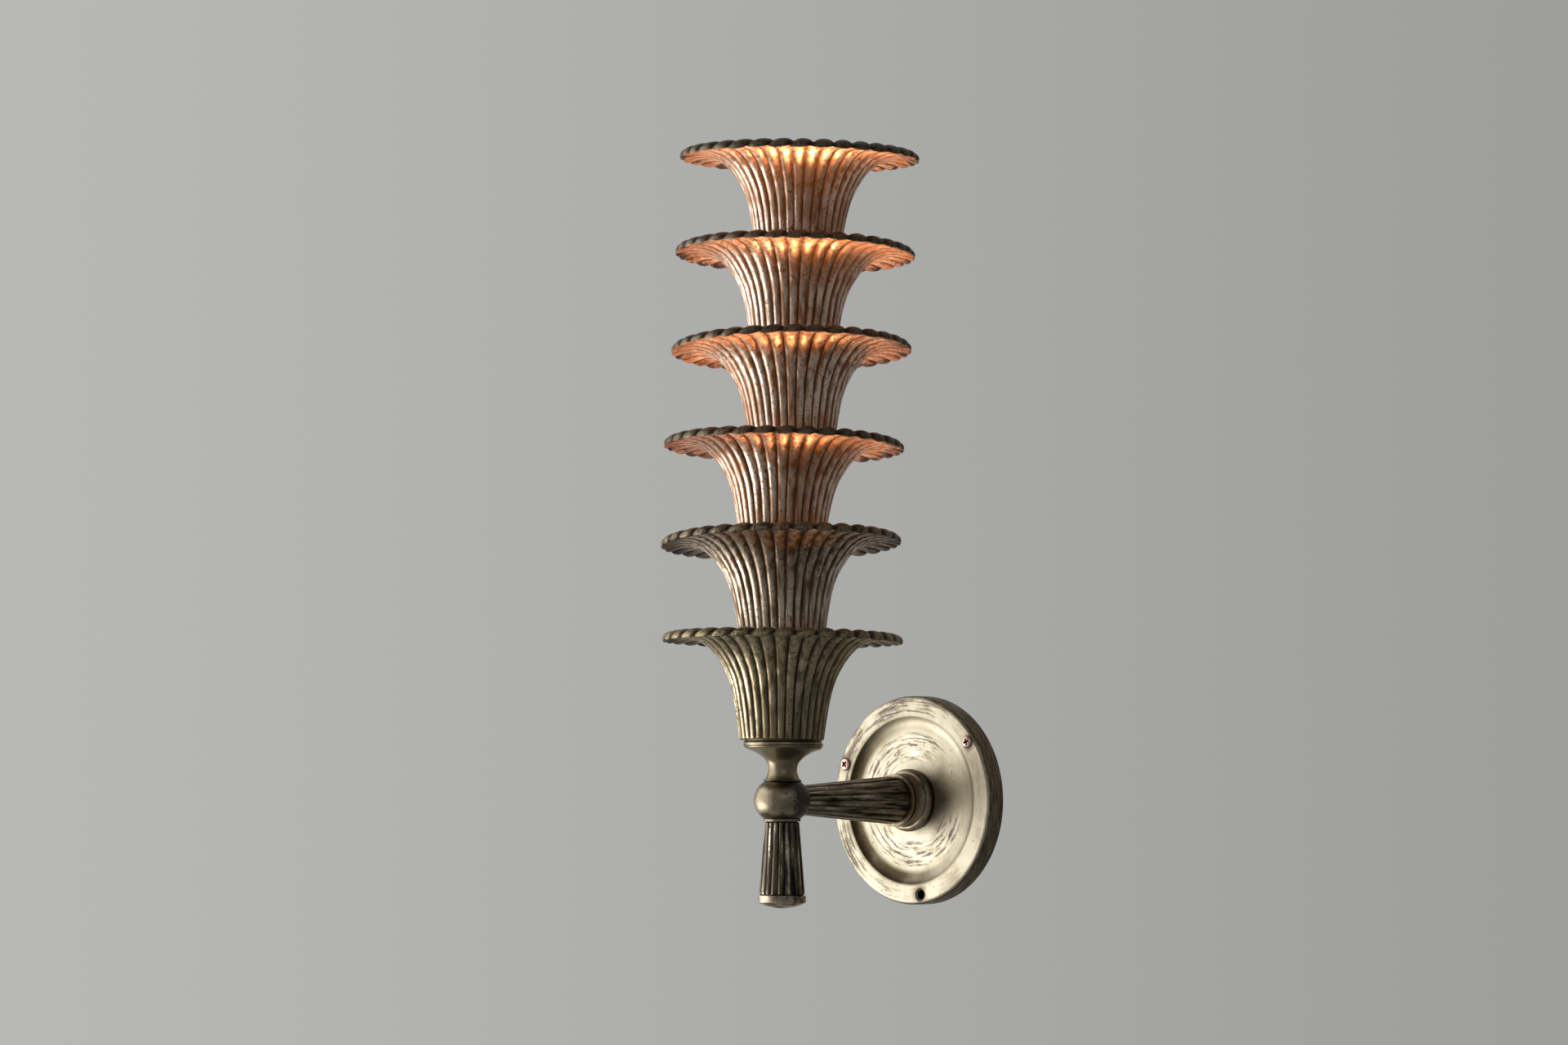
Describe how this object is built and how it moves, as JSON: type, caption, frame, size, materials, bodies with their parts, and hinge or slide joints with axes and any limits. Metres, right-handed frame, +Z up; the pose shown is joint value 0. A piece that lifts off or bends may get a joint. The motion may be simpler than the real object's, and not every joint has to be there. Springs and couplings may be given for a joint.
{
  "type": "wall sconce",
  "caption": "Wall sconce: stacked fluted trumpet cups with lobed rims round a tubular lamp, on a ball hub with reeded arm, hanging drop and round dished backplate.",
  "frame": {"origin": "centre of the circle of wall-screw holes, on the wall plane", "axes": "+Z up, +Y into the wall, +X to the right as seen from the room"},
  "size_m": [0.1404, 0.1919, 0.4434],
  "materials": {
    "plate_silver": "worn silvered brass, brushed, brown where it is worn",
    "silvered_cups": "silvered brass casting, bright ridges, brown patina in the flutes",
    "aged_bronze": "dark patinated brass, ridges rubbed bright",
    "worn_bronze": "silvered brass, satin, darker in the recesses",
    "plain_steel": "plain turned steel",
    "holder_brass": "satin",
    "holder_ceramic": "matt",
    "lamp_metal": "bright",
    "clear_glass": "clear",
    "lamp_light": "emissive, warm white",
    "flex_cover": "matt"
  },
  "bodies": {
    "root": {"backplate": "plate_silver", "arm_collar": "aged_bronze", "arm": "aged_bronze", "ball_hub": "worn_bronze", "neck": "worn_bronze", "seat_disc": "worn_bronze", "arm_tube": "plain_steel", "back_washer": "plain_steel", "back_nut": "plain_steel", "neck_tube": "plain_steel", "stem_nut": "plain_steel", "base_disc": "worn_bronze", "stay_rods": "plain_steel", "holder_cap": "holder_brass", "holder_contact": "holder_ceramic", "holder_sleeve": "holder_ceramic", "inner_flex": "flex_cover", "pendant_ring": "aged_bronze", "pendant": "aged_bronze", "pendant_cap": "worn_bronze", "pendant_stud": "plain_steel", "cup_1": "silvered_cups", "cup_2": "silvered_cups", "cup_3": "silvered_cups", "cup_4": "silvered_cups", "cup_5": "silvered_cups", "cup_6": "silvered_cups"},
    "lamp": {"lamp_cap": "lamp_metal", "lamp_glass": "clear_glass", "lamp_stem": "clear_glass", "lamp_filament": "lamp_light"}
  },
  "joints": [
    {"name": "lamp_lift", "type": "slide", "parent": "root", "child": "lamp", "axis": [0, 0.0297, 0.9996], "range_m": [0, 0.3]}
  ]
}
